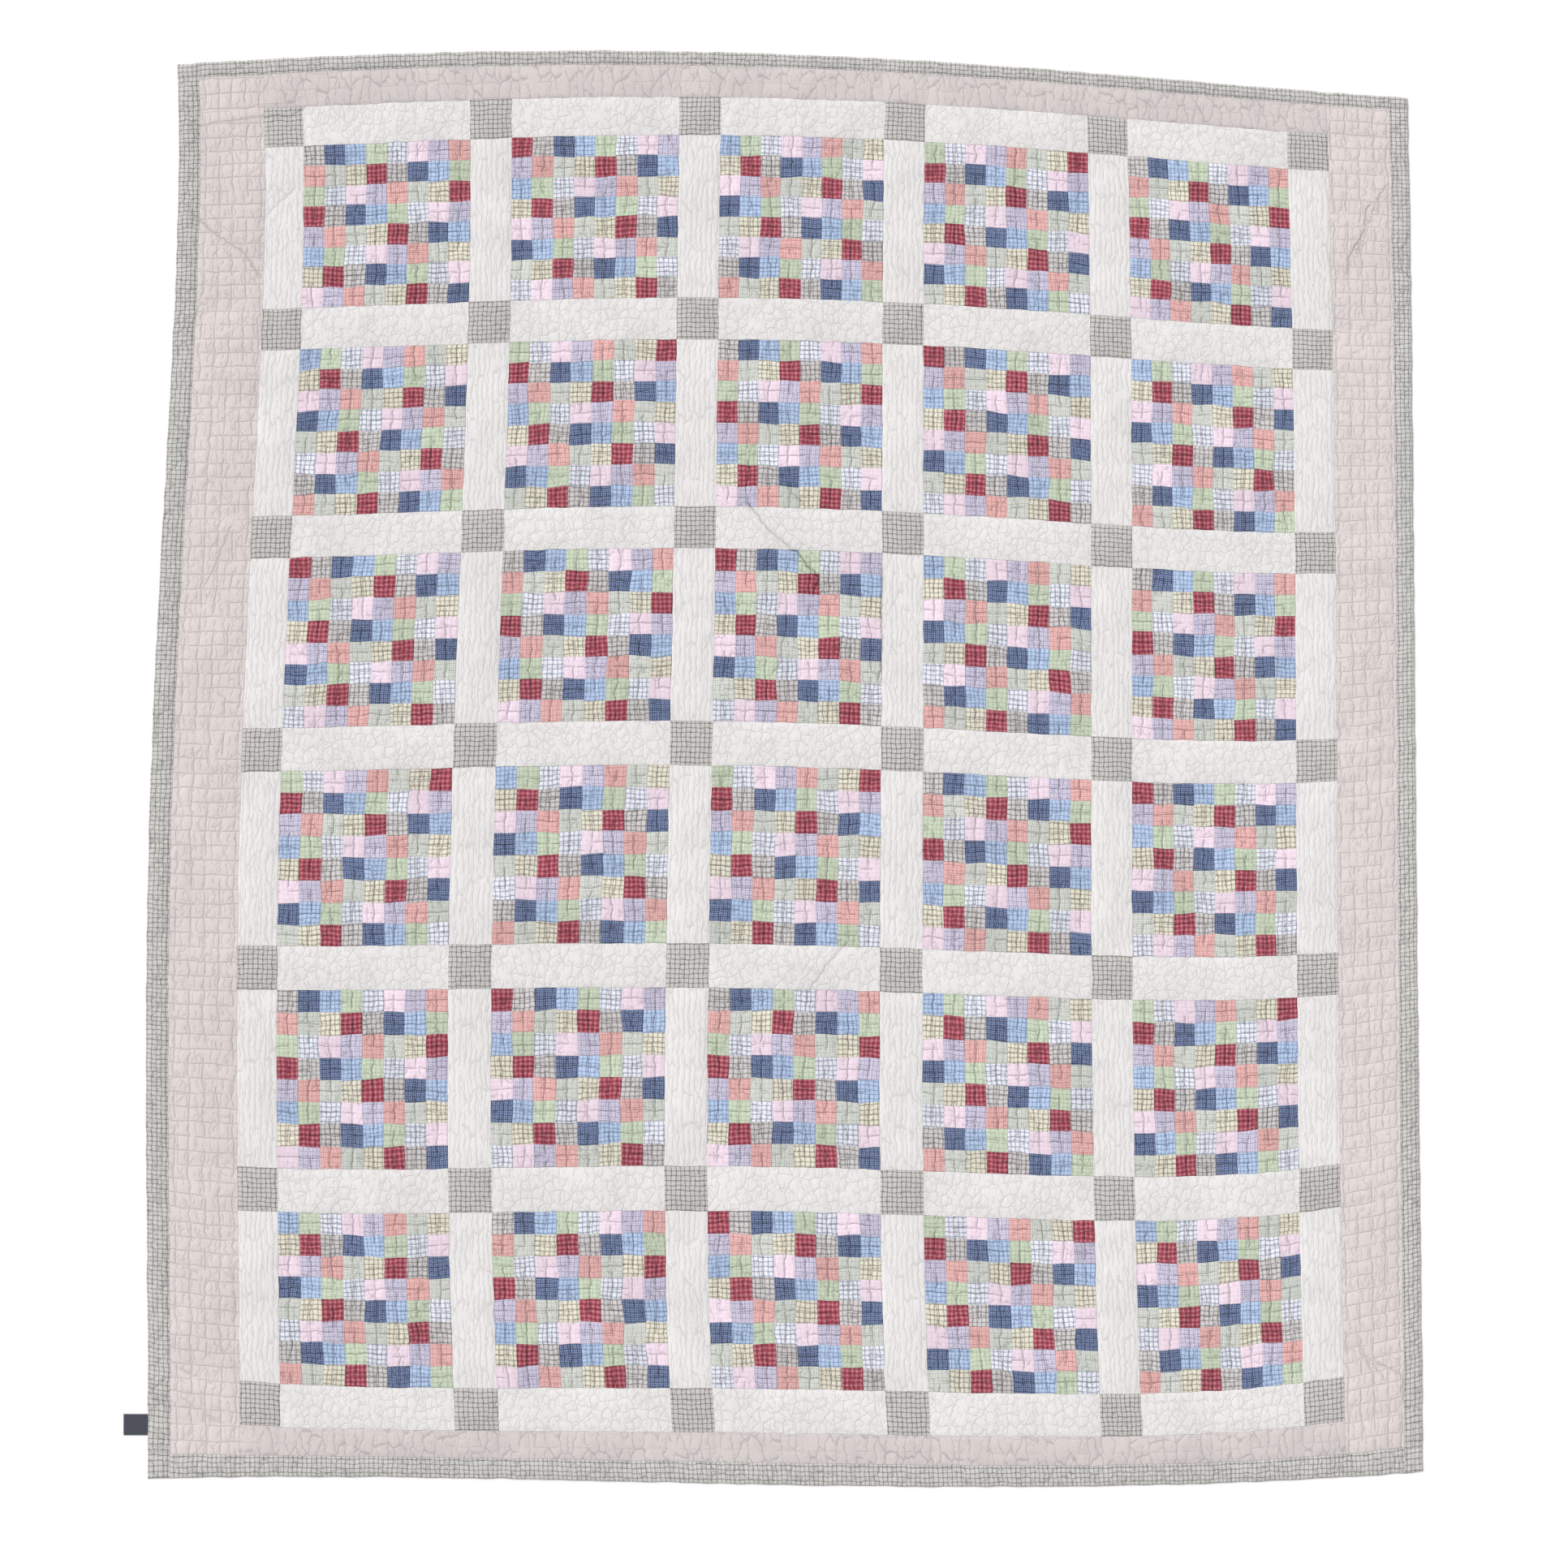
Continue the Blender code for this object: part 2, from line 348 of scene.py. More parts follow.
class Net:
    """Adds nodes to a shader or geometry tree. Sockets and numbers go in, and sockets come out."""

    def __init__(self, tree):
        self.tree = tree
        self.is_shader = tree.bl_idname == "ShaderNodeTree"

    def add(self, kind, inputs, **settings):
        node = self.tree.nodes.new(kind)
        for name, value in settings.items():
            setattr(node, name, value)
        for key, value in inputs.items():
            if isinstance(value, bpy.types.NodeSocket):
                self.tree.links.new(value, node.inputs[key])
            else:
                node.inputs[key].default_value = value
        return node

    def maths(self, operation, *values):
        return self.add("ShaderNodeMath", dict(enumerate(values)), operation=operation).outputs[0]

    def product(self, first, *others):
        for other in others:
            first = self.maths("MULTIPLY", first, other)
        return first

    def attribute(self, name):
        if self.is_shader:
            return self.add("ShaderNodeAttribute", {}, attribute_name=name).outputs["Vector"]
        node = self.add("GeometryNodeInputNamedAttribute", {"Name": name}, data_type="FLOAT_VECTOR")
        return node.outputs[0]

    def split(self, vector):
        return self.add("ShaderNodeSeparateXYZ", {0: vector}).outputs

    def join(self, x, y, z=0.0):
        return self.add("ShaderNodeCombineXYZ", {0: x, 1: y, 2: z}).outputs[0]

    def ramp(self, value, start, end, low=0.0, high=1.0):
        """An eased step of value from low at start to high at end."""
        inputs = {"Value": value, "From Min": start, "From Max": end, "To Min": low, "To Max": high}
        return self.add("ShaderNodeMapRange", inputs, interpolation_type="SMOOTHSTEP").outputs[0]

    def noise(self, vector, size, detail=1.0):
        inputs = {"Vector": vector, "Scale": 1.0 / size, "Detail": detail}
        return self.add("ShaderNodeTexNoise", inputs, noise_dimensions="2D").outputs[0]

    def sway(self, vector, size, amount):
        """Smooth noise about zero."""
        return self.maths("MULTIPLY_ADD", self.noise(vector, size), 2 * amount, -amount)

    def cell_edge(self, vector):
        node = self.add("ShaderNodeTexVoronoi", {"Vector": vector, "Scale": 1.0, "Randomness": 0.9},
                        voronoi_dimensions="2D", feature="DISTANCE_TO_EDGE")
        return node.outputs["Distance"]

    def highest(self, values):
        result = values[0]
        for value in values[1:]:
            result = self.maths("MAXIMUM", result, value)
        return result

    def blend(self, share, first, second):
        node = self.add("ShaderNodeMix", {0: share, 6: first, 7: second}, data_type="RGBA")
        return node.outputs[2]

    def scaled(self, colour, factor):
        if not isinstance(colour, bpy.types.NodeSocket):
            colour = colour[:3]
        inputs = {0: colour, "Scale": factor}
        return self.add("ShaderNodeVectorMath", inputs, operation="SCALE").outputs[0]


# One kind of fold in the quilted cloth: how far away it is (mm), how strongly it shows here,
# how deep it sinks and how wide (mm), how much shade is painted into its crack and how wide (mm)
Fold = namedtuple("Fold", "distance shown depth reach dark width")


def stitched(net, place, down, spacing, first, sway, shown, depth, reach, dark, width):
    """Stitch lines a spacing apart, running down or across the quilt and wandering a little."""
    u, v, _ = net.split(place)
    across = u if down else v
    if sway:
        across = net.maths("ADD", across, net.sway(place, 46.0, sway * 1.6))
        across = net.maths("ADD", across, net.sway(place, 13.0, sway))
    turns = net.maths("FRACT", net.maths("MULTIPLY_ADD", across, 1 / spacing, 0.5 - first / spacing))
    off = net.maths("ABSOLUTE", net.maths("SUBTRACT", turns, 0.5))
    along = net.product(v if down else u, 0.52)
    stretched = net.join(u, along) if down else net.join(along, v)
    here = net.ramp(net.noise(stretched, 17.0), *shown)
    return Fold(net.product(off, spacing), here, depth, reach, dark, width)


def wrinkled(net, place, size, sway, shown, depth, reach, dark, width):
    """Wrinkles along the borders of puffed cells of about this size, across and down."""
    u, v, _ = net.split(place)
    bend = size[0] * 0.8
    swayed_u = net.maths("ADD", u, net.sway(place, bend, sway))
    swayed_v = net.maths("ADD", v, net.sway(net.join(v, u), bend, sway))
    cell = net.join(net.product(swayed_u, 1 / size[0]), net.product(swayed_v, 1 / size[1]))
    edge = net.product(net.cell_edge(cell), min(size))
    here = net.ramp(net.noise(net.join(net.product(v, 0.5), u), size[0] * 1.2), *shown)
    return Fold(edge, here, depth, reach, dark, width)


def creased(net, place, dark):
    """The larger creases, each sunk with painted shade in its crack and a soft band of painted shade
    beside it, from each piece's own measure of them.
    """
    off, shown, _ = net.split(net.attribute("crease"))
    off = net.maths("ABSOLUTE", net.maths("ADD", off, net.sway(place, 11.0, 3.4)))
    return [Fold(off, shown, 2.0, 12, dark, 1.1 + dark), Fold(off, shown, 0.0, 1.0, 0.10, 7.0)]


def bricked(net, place, spacing, course, first, shown, depth, reach, dark, width):
    """Short upright wrinkles between stitch lines a course apart, out of step from row to row."""
    u, v, _ = net.split(place)
    row = net.maths("FLOOR", net.maths("MULTIPLY_ADD", v, 1 / course, -first / course))
    luck = net.add("ShaderNodeTexWhiteNoise", {"W": row}, noise_dimensions="1D").outputs["Value"]
    across = net.maths("ADD", u, net.sway(place, 13.0, 5.5))
    turns = net.maths("ADD", net.maths("DIVIDE", across, spacing), net.product(luck, 40.0))
    node = net.add("ShaderNodeTexVoronoi", {"W": turns, "Scale": 1.0, "Randomness": 0.8},
                   voronoi_dimensions="1D", feature="DISTANCE_TO_EDGE")
    edge = net.product(node.outputs["Distance"], spacing)
    here = net.ramp(net.noise(place, 15.0), *shown)
    return Fold(edge, here, depth, reach, dark, width)


PATCH_MM = PATCH / MM
FIRST_U = U_SEAMS[3] / MM
FIRST_V = V_SEAMS[3] / MM
INCH = 25.4

# Each list below is one cloth's folds. After the tree and the place come, for a stitched fold,
# whether it runs down, the spacing, the first line and the sway, or for a wrinkled one the cells'
# size and the sway. Then come the noise levels between which it fades in, and its depth, reach,
# the shade painted into its crack, and the crack's width, as in Fold. All lengths are in mm.


def patch_folds(net, place):
    """Stitching through the middle of each row of patches both ways, and the seams between."""
    half = PATCH_MM / 2
    return [
        stitched(net, place, True, PATCH_MM, FIRST_U + half, 2.9, (0.32, 0.50), 1.5, 10, 0.54, 1.4),
        stitched(net, place, False, PATCH_MM, FIRST_V + half, 2.0, (0.34, 0.52), 1.2, 9, 0.50, 1.2),
        stitched(net, place, True, PATCH_MM, FIRST_U, 0.0, (0.1, 0.3), 0.5, 5, 0.20, 0.8),
        stitched(net, place, False, PATCH_MM, FIRST_V, 0.0, (0.1, 0.3), 0.5, 5, 0.22, 0.8),
        wrinkled(net, place, (15, 38), 6, (0.42, 0.60), 0.7, 6, 0.28, 1.1),
    ]


def long_folds(net, place):
    """Long upright wrinkles that part and meet again, down the white strips between blocks."""
    return [
        stitched(net, place, True, 9.6, 0.0, 3.0, (0.28, 0.46), 0.65, 4.4, 0.18, 1.0),
        wrinkled(net, place, (13, 60), 3.2, (0.36, 0.52), 0.45, 4.5, 0.15, 1.0),
    ]


def cell_folds(net, place):
    """Rounded cells, across the white strips between rows of blocks."""
    return [
        wrinkled(net, place, (18, 20), 5, (0.26, 0.46), 0.8, 7, 0.17, 1.0),
        wrinkled(net, place, (9, 22), 3.5, (0.38, 0.54), 0.5, 4.5, 0.13, 1.0),
    ]


def side_border_folds(first, shade_down, shade_across):
    """A grid of stitching an inch apart, its cells puffed and broken by upright wrinkles."""
    def folds(net, place):
        return [
            stitched(net, place, True, INCH, first, 2.8, (0.32, 0.50), 1.4, 10, shade_down, 1.2),
            stitched(net, place, False, INCH, 4, 1.1, (0.26, 0.42), 1.2, 9, shade_across, 1.0),
            bricked(net, place, 14.5, INCH, 4, (0.34, 0.50), 0.8, 6, 0.18, 1.1),
            wrinkled(net, place, (19, 34), 7, (0.50, 0.62), 0.8, 8, 0.15, 1.3),
        ]
    return folds


def end_border_folds(net, place):
    """Mostly upright folds across the narrow border, and a faint stitch line along it."""
    return [
        wrinkled(net, place, (17, 46), 5, (0.28, 0.46), 0.6, 7, 0.25, 1.3),
        stitched(net, place, False, INCH, 4, 1.2, (0.40, 0.56), 0.6, 7, 0.13, 1.1),
        wrinkled(net, place, (13, 17), 4, (0.48, 0.62), 0.4, 5, 0.10, 1.0),
    ]


def binding_folds(net, place):
    """Small puckers in the folded edge, and the line where it is sewn down beside its inner seam."""
    inset = 4.0
    left, right = U_SEAMS[1] / MM - inset, U_SEAMS[-2] / MM + inset
    top, bottom = V_SEAMS[1] / MM - inset, V_SEAMS[-2] / MM + inset
    return [
        stitched(net, place, True, right - left, left, 0.8, (0.38, 0.56), 1.0, 6, 0.26, 1.3),
        stitched(net, place, False, bottom - top, top, 0.8, (0.38, 0.56), 1.0, 6, 0.26, 1.3),
        wrinkled(net, place, (14, 20), 7, (0.36, 0.56), 0.9, 6, 0.24, 1.3),
        wrinkled(net, place, (40, 34), 10, (0.46, 0.60), 0.9, 8, 0.28, 1.5),
    ]


def flat_folds(net, place):
    """A few faint wrinkles."""
    return [wrinkled(net, place, (17, 26), 5, (0.42, 0.62), 0.6, 7, 0.16, 1.2)]


def relief_tree(name, folds_of, part=2):
    """A geometry tree that lowers the cloth along its folds, and leaves it lumpy between them.

    Its part is the panels that it works on: 0 those of the blocks' columns, 1 those of the
    sashes', 2 all of them.
    """
    tree = bpy.data.node_groups.new(name, "GeometryNodeTree")
    tree.interface.new_socket("Geometry", in_out="INPUT", socket_type="NodeSocketGeometry")
    tree.interface.new_socket("Geometry", in_out="OUTPUT", socket_type="NodeSocketGeometry")
    net = Net(tree)
    place = net.attribute("pattern")
    depths = []
    for fold in folds_of(net, place) + creased(net, place, STRIP_CREASE_SHADE):
        near = net.maths("SUBTRACT", 1.0, net.maths("DIVIDE", fold.distance, fold.reach))
        near = net.maths("POWER", net.maths("MAXIMUM", near, 0.0), 2.0)
        depths.append(net.product(near, fold.shown, fold.depth))
    sunk = net.highest(depths)
    lumps = net.maths("ADD", net.sway(place, 64.0, 0.8), net.sway(place, 24.0, 0.35))
    share = net.split(net.attribute("share"))[part]
    rise = net.product(net.maths("SUBTRACT", lumps, sunk), MM, share)
    offset = net.join(0.0, 0.0, rise)
    start = tree.nodes.new("NodeGroupInput")
    end = tree.nodes.new("NodeGroupOutput")
    moved = net.add("GeometryNodeSetPosition", {"Geometry": start.outputs[0], "Offset": offset})
    tree.links.new(moved.outputs[0], end.inputs[0])
    return tree


def linear(colour):
    """An sRGB colour of 0 to 255 as a linear one."""
    share = np.array(colour) / 255.0
    low = share / 12.92
    high = ((share + 0.055) / 1.055) ** 2.4
    return (*(float(x) for x in np.where(share <= 0.04045, low, high)), 1.0)


def crack_shade_share(ground):
    """How much of its painted shade a crack keeps: less in a pale cloth, which passes light through."""
    red, green, blue, _ = linear(ground)
    return 1.35 - 0.6 * (0.21 * red + 0.72 * green + 0.07 * blue)


def new_material(name):
    """A new material, the net that adds its nodes, and its shader."""
    material = bpy.data.materials.new(name)
    material.use_nodes = True
    return material, Net(material.node_tree), material.node_tree.nodes["Principled BSDF"]


def bumped(net, shader, raised):
    """Gives the shader its finest relief, in mm."""
    bump = net.add("ShaderNodeBump", {"Height": raised, "Distance": MM, "Strength": 1.0})
    net.tree.links.new(bump.outputs[0], shader.inputs["Normal"])


def bent(net, across, place):
    """A place across the weave, which wanders a little, as in washed cloth."""
    for size, amount in WEAVE_BENDS:
        across = net.maths("ADD", across, net.sway(place, size, amount))
    return across


def striped(net, stripe, places, slubs):
    """How strongly a stripe shows here: in full only where it crosses another of its kind."""
    bands = []
    for across, slub in zip(places, slubs):
        start = 0.5 - stripe.place / stripe.spacing
        turns = net.maths("MULTIPLY_ADD", across, 1 / stripe.spacing, start)
        off = net.maths("ABSOLUTE", net.maths("SUBTRACT", net.maths("FRACT", turns), 0.5))
        edge = 0.5 * stripe.width / stripe.spacing
        soft = STRIPE_BLUR / stripe.spacing
        band = net.ramp(off, edge + soft, edge - soft)
        bands.append(net.product(band, net.ramp(slub, SLUB_THIN, SLUB_THICK, THIN_SHOWN, 1.0)))
    crossing = net.product(*bands)
    either = net.maths("MAXIMUM", *bands)
    crossed = net.product(crossing, 1 - stripe.single)
    share = net.maths("MULTIPLY_ADD", either, stripe.single, crossed)
    return net.product(share, stripe.strength)


def painted_crack_shade(net, folds, kept):
    """How much shade is painted into the folds' cracks here, and how deep the fine dents beside them.
    """
    painted_shades = []
    dents = []
    for fold in folds:
        crack = net.ramp(fold.distance, fold.width, fold.width * CRACK_CORE)
        painted_shades.append(net.product(crack, fold.shown, fold.dark * kept))
        dent = net.ramp(fold.distance, fold.width * DENT_REACH, 0.0)
        dents.append(net.product(dent, fold.shown, fold.depth * DENT_DEPTH))
    return net.highest(painted_shades), net.highest(dents)


def cotton(name, ground, stripes, folds_of, crack_shade_kept=1.0, crease_shade=STRIP_CREASE_SHADE):
    """A woven cotton: its yarn-dyed stripes, mottled yarn, weave, and shade painted into the cracks of
    its folds.
    """
    material, net, shader = new_material(name)
    place = net.attribute("pattern")
    x, y, shade = net.split(net.attribute("cloth"))
    x = bent(net, x, place)
    y = bent(net, y, net.join(y, x))
    warp_slub = net.noise(net.join(x, net.product(y, SLUB_STRETCH)), SLUB_MM, 2.0)
    weft_slub = net.noise(net.join(net.product(x, SLUB_STRETCH), y), SLUB_MM, 2.0)
    colour = linear(ground)
    for stripe in stripes:
        share = striped(net, stripe, (x, y), (warp_slub, weft_slub))
        colour = net.blend(share, colour, linear(stripe.colour))
    patchy = net.noise(place, MOTTLE_SIZE, 2.0)
    mottle = net.maths("ADD", net.maths("ADD", warp_slub, weft_slub), patchy)
    folds = folds_of(net, place) + creased(net, place, crease_shade)
    dark, dent = painted_crack_shade(net, folds, crack_shade_kept)
    # Shade is painted into the colour along the cracks and creases, on top of the yarn's mottle and the
    # patch's tint
    factor = net.product(net.maths("MULTIPLY_ADD", mottle, MOTTLE, CLOTH_TONE - 1.5 * MOTTLE),
                         net.maths("MULTIPLY_ADD", shade, TINT, 1.0),
                         net.maths("SUBTRACT", 1.0, dark))
    net.tree.links.new(net.scaled(colour, factor), shader.inputs["Base Color"])
    turn = 2 * math.pi / YARN_MM
    warp, weft = (net.maths("SINE", net.product(across, turn)) for across in (x, y))
    raised = net.maths("MULTIPLY_ADD", net.product(warp, weft), 0.02, net.product(mottle, 0.06))
    bumped(net, shader, net.maths("SUBTRACT", raised, dent))
    net.tree.links.new(net.maths("MULTIPLY_ADD", mottle, 0.06, 0.80), shader.inputs["Roughness"])
    shader.inputs["Specular IOR Level"].default_value = 0.25
    shader.inputs["Sheen Weight"].default_value = 0.12
    shader.inputs["Sheen Roughness"].default_value = 0.6
    return material


def spaced(start, end, step):
    """Evenly spaced places from start to end, about a step apart."""
    return list(np.linspace(start, end, max(2, round((end - start) / step)) + 1))


def strip_lines(seams, first, last):
    """Mesh lines over panels first to last, drawn in by half the gap, closer at a rolled rim."""
    lines = [seams[first]]
    for start, end in zip(seams[first:last + 1], seams[first + 1:last + 2]):
        lines += spaced(start, end, STEP)[1:]
    if first == 0:
        lines = list(RIM) + [line for line in lines if line > RIM_REACH]
    else:
        lines[0] += GAP / 2
    if last == len(seams) - 2:
        edge = seams[-1]
        lines = [line for line in lines if line < edge - RIM_REACH]
        lines += [edge - rim for rim in reversed(RIM)]
    else:
        lines[-1] -= GAP / 2
    return np.array(lines)


def patch_lines(start):
    """Mesh lines over a block, with a narrow seam on each line between two patches."""
    lines = []
    for number in range(PATCHES):
        left = start + number * PATCH + SEAM_HALF
        lines += list(np.linspace(left, left + PATCH - 2 * SEAM_HALF, PATCH_CELLS + 1))
    return lines


def crease_at(u, v):
    """The signed distance (mm) to the nearest of the larger creases, and how open it is there."""
    place = np.stack([u, v], axis=1) / MM
    nearest = np.full(len(u), CREASE_LIMIT)
    signed = np.full(len(u), CREASE_LIMIT)
    shown = np.zeros(len(u))
    for open_share, points in CREASES:
        points = np.array(points, dtype=float)
        steps = np.diff(points, axis=0)
        lengths = np.linalg.norm(steps, axis=1)
        starts = np.concatenate(([0.0], np.cumsum(lengths)))
        for point, step, length, start in zip(points, steps, lengths, starts):
            away = place - point
            ahead = np.clip(away @ step / length ** 2, 0.0, 1.0)
            off = np.linalg.norm(away - ahead[:, None] * step, axis=1)
            closer = off < nearest
            side = np.where(step[0] * away[:, 1] - step[1] * away[:, 0] < 0, -1.0, 1.0)
            reached = start + ahead * length
            fade = smooth(np.minimum(reached, starts[-1] - reached) / CREASE_FADE)
            nearest = np.where(closer, off, nearest)
            signed = np.where(closer, off * side, signed)
            shown = np.where(closer, fade * open_share, shown)
    return np.stack([signed, shown, np.zeros(len(u))], axis=1)


def grid_corners(rows, columns):
    """The corners of a closed grid's faces, as quads, then walls, then the base; and its edge."""
    number = np.arange(rows * columns).reshape(rows, columns)
    edge = np.concatenate([number[:-1, 0], number[-1, :-1], number[:0:-1, -1], number[0, :0:-1]])
    foot = np.arange(len(edge)) + rows * columns
    quads = np.stack([number[:-1, :-1], number[1:, :-1], number[1:, 1:], number[:-1, 1:]], axis=-1)
    walls = np.stack([edge, foot, np.roll(foot, -1), np.roll(edge, -1)], axis=1)
    return np.concatenate([quads.ravel(), walls.ravel(), foot[::-1]]), edge


def closed_mesh(name, points, corners, quads):
    """A mesh of this many quads, and one last face that takes the corners left over."""
    mesh = bpy.data.meshes.new(name)
    mesh.vertices.add(len(points))
    mesh.vertices.foreach_set("co", points.astype(np.float32).ravel())
    mesh.loops.add(len(corners))
    mesh.loops.foreach_set("vertex_index", corners.astype(np.int32))
    mesh.polygons.add(quads + 1)
    mesh.polygons.foreach_set("loop_start", (4 * np.arange(quads + 1)).astype(np.int32))
    mesh.update(calc_edges=True)
    return mesh


def cloth_mesh(name, u_lines, v_lines, jog=None):
    """The closed mesh of a piece of the pattern, and its quads' rows, columns and corners."""
    columns, rows = len(u_lines), len(v_lines)
    u, v = (grid.ravel() for grid in np.meshgrid(u_lines, v_lines))
    shift_u, shift_v = wander(u, v)
    jog_u, jog_v = (0.0, 0.0) if jog is None else jog(u, v)
    x, y = lie(u + shift_u + jog_u, v + shift_v + jog_v)
    top = np.stack([x + SHIFT[0], y + SHIFT[1], height(u, v)], axis=1)
    corners, edge = grid_corners(rows, columns)
    points = np.concatenate([top, top[edge] * (1.0, 1.0, 0.0)])
    mesh = closed_mesh(name, points, corners, (rows - 1) * (columns - 1) + len(edge))
    pattern = np.stack([u, v, np.zeros_like(u)], axis=1)
    pattern = np.concatenate([pattern, pattern[edge]]) / MM
    share = relief_share(u, v)
    odd = seam_shares(U_SEAMS, u)[0] % 2
    shares = np.stack([share * odd, share * (1 - odd), share], axis=1)
    crease = crease_at(u, v)
    write(mesh, "pattern", "POINT", pattern)
    write(mesh, "share", "POINT", np.concatenate([shares, np.zeros((len(edge), 3))]))
    write(mesh, "crease", "POINT", np.concatenate([crease, crease[edge]]))
    places = np.meshgrid(np.arange(rows - 1), np.arange(columns - 1), indexing="ij")
    row, column = (grid.ravel() for grid in places)
    return mesh, row, column, corners, pattern


def write(mesh, name, domain, values):
    """A vector attribute of the mesh."""
    attribute = mesh.attributes.new(name, "FLOAT_VECTOR", domain)
    attribute.data.foreach_set("vector", np.asarray(values, dtype=np.float32).ravel())


def finish_piece(name, mesh, materials, indices, cloth, trees):
    """The mesh as the quilt's piece: its cottons, its cloth's own measures, and its relief."""
    for material in materials:
        mesh.materials.append(material)
    backing = len(materials) - 1
    faces = np.full(len(mesh.polygons), backing)
    faces[:len(indices)] = indices
    faces[len(indices):-1] = materials_of_walls(mesh, indices, backing)
    mesh.polygons.foreach_set("material_index", faces.astype(np.int32))
    write(mesh, "cloth", "CORNER", cloth)
    piece = bpy.data.objects.new(name + "_cloth", mesh)
    bpy.context.scene.collection.objects.link(piece)
    for tree in trees:
        piece.modifiers.new(tree.name, "NODES").node_group = tree
    settle(piece)
    mesh.shade_smooth()
    mesh.set_sharp_from_angle(angle=SHARP_EDGE)
    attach(piece, "root")
    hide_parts(name)


def materials_of_walls(mesh, indices, backing):
    """The side walls take the cloth of the quad above them."""
    corners = np.zeros(len(mesh.loops), dtype=np.int32)
    mesh.loops.foreach_get("vertex_index", corners)
    quads = corners[:4 * len(indices)].reshape(-1, 4)
    owner = {}
    for index, quad in zip(indices, quads):
        for corner in quad:
            owner[int(corner)] = index
    walls = corners[4 * len(indices):4 * (len(mesh.polygons) - 1)].reshape(-1, 4)
    return [owner[int(wall[0])] for wall in walls]


def settle(piece):
    """Takes the modifiers' shape into the piece's own mesh."""
    view = bpy.context.evaluated_depsgraph_get()
    shaped = piece.evaluated_get(view).data
    places = np.zeros(3 * len(piece.data.vertices), dtype=np.float32)
    shaped.vertices.foreach_get("co", places)
    before = np.zeros_like(places)
    piece.data.vertices.foreach_get("co", before)
    heights = places[2::3]
    heights[before[2::3] > 0] = np.maximum(heights[before[2::3] > 0], LOWEST_TOP)
    piece.modifiers.clear()
    piece.data.vertices.foreach_set("co", places)
    piece.data.update()


patch_cottons = [cotton(name, ground, stripes, patch_folds, crack_shade_share(ground), PATCH_CREASE_SHADE)
                 for name, ground, stripes in PATCH_COTTONS]
white_long = cotton("white_cotton_down", WHITE, (), long_folds)
white_cells = cotton("white_cotton_across", WHITE, (), cell_folds)
corner_check = cotton("corner_check", *CORNER_CHECK, flat_folds)
# The last two numbers are the shade painted into the cracks of the upright and the crosswise stitch
# lines
left_border_folds = side_border_folds(U_SEAMS[2] / MM - 7, 0.19, 0.20)
right_border_folds = side_border_folds(U_SEAMS[-3] / MM + 7, 0.25, 0.13)
pink_left = cotton("pink_cotton_left", PINK, (), left_border_folds)
pink_right = cotton("pink_cotton_right", PINK, (), right_border_folds)
pink_end = cotton("pink_cotton_end", PINK_ENDS, (), end_border_folds)
binding_check = cotton("binding_check", *BINDING_CHECK, binding_folds)
backing = cotton("backing_cotton", BACKING, (), flat_folds)

block_trees = [relief_tree("patch_relief", patch_folds, 0), relief_tree("long_relief", long_folds, 1)]
sash_trees = [relief_tree("cell_relief", cell_folds, 0), relief_tree("corner_relief", flat_folds, 1)]
left_tree = relief_tree("left_border_relief", left_border_folds)
right_tree = relief_tree("right_border_relief", right_border_folds)
end_tree = relief_tree("end_border_relief", end_border_folds)
binding_tree = relief_tree("binding_relief", binding_folds)


def block_lines(row, column):
    """Mesh lines of a block and its sash strips, and where its first patch starts."""
    u_start, v_start = U_SEAMS[3 + 2 * column], V_SEAMS[3 + 2 * row]
    u_end = u_start + BLOCK
    u_lines = spaced(U_SEAMS[2 + 2 * column], u_start - SEAM_HALF, FINE_STEP) + patch_lines(u_start)
    if column == COLUMNS - 1:
        u_lines += spaced(u_end + SEAM_HALF, u_end + SASH, FINE_STEP)
        u_end += SASH
    u_lines[0] += GAP / 2
    u_lines[-1] = u_end - GAP / 2
    v_lines = np.linspace(v_start, v_start + BLOCK, PATCHES * PATCH_CELLS + 1)
    v_lines[0] += GAP / 2
    v_lines[-1] -= GAP / 2
    return np.array(u_lines), v_lines, u_start, v_start


def patch_jog(luck, u_start, v_start):
    """How far each point of a block strays from the even layout, as a function of its place."""
    jogs = luck.uniform(-JOG, JOG, (PATCHES + 1, PATCHES, 2))
    jogs[0] = jogs[-1] = 0.0
    strays = luck.uniform(-STRAY, STRAY, (2, PATCHES + 1, PATCHES + 1))
    strays[:, (0, -1)] = 0.0
    strays[:, :, (0, -1)] = 0.0

    def jog(u, v):
        """How far a point strays, to the right and down."""
        across = np.clip((u - u_start) / PATCH, 0.0, PATCHES - 1e-6)
        down = np.clip((v - v_start) / PATCH, 0.0, PATCHES - 1e-6)
        patch, part = across.astype(int), down.astype(int)
        side, drop = across - patch, down - part
        upper = jogs[part, patch, 0] * (1 - side) + jogs[part, patch, 1] * side
        lower = jogs[part + 1, patch, 0] * (1 - side) + jogs[part + 1, patch, 1] * side
        in_block = (u > u_start) & (u < u_start + BLOCK)
        step = np.where(in_block, upper * (1 - drop) + lower * drop, 0.0)
        shifts = []
        for stray in strays:
            above = stray[part, patch] * (1 - side) + stray[part, patch + 1] * side
            below = stray[part + 1, patch] * (1 - side) + stray[part + 1, patch + 1] * side
            shifts.append(above * (1 - drop) + below * drop)
        return shifts[0], shifts[1] + step

    return jog


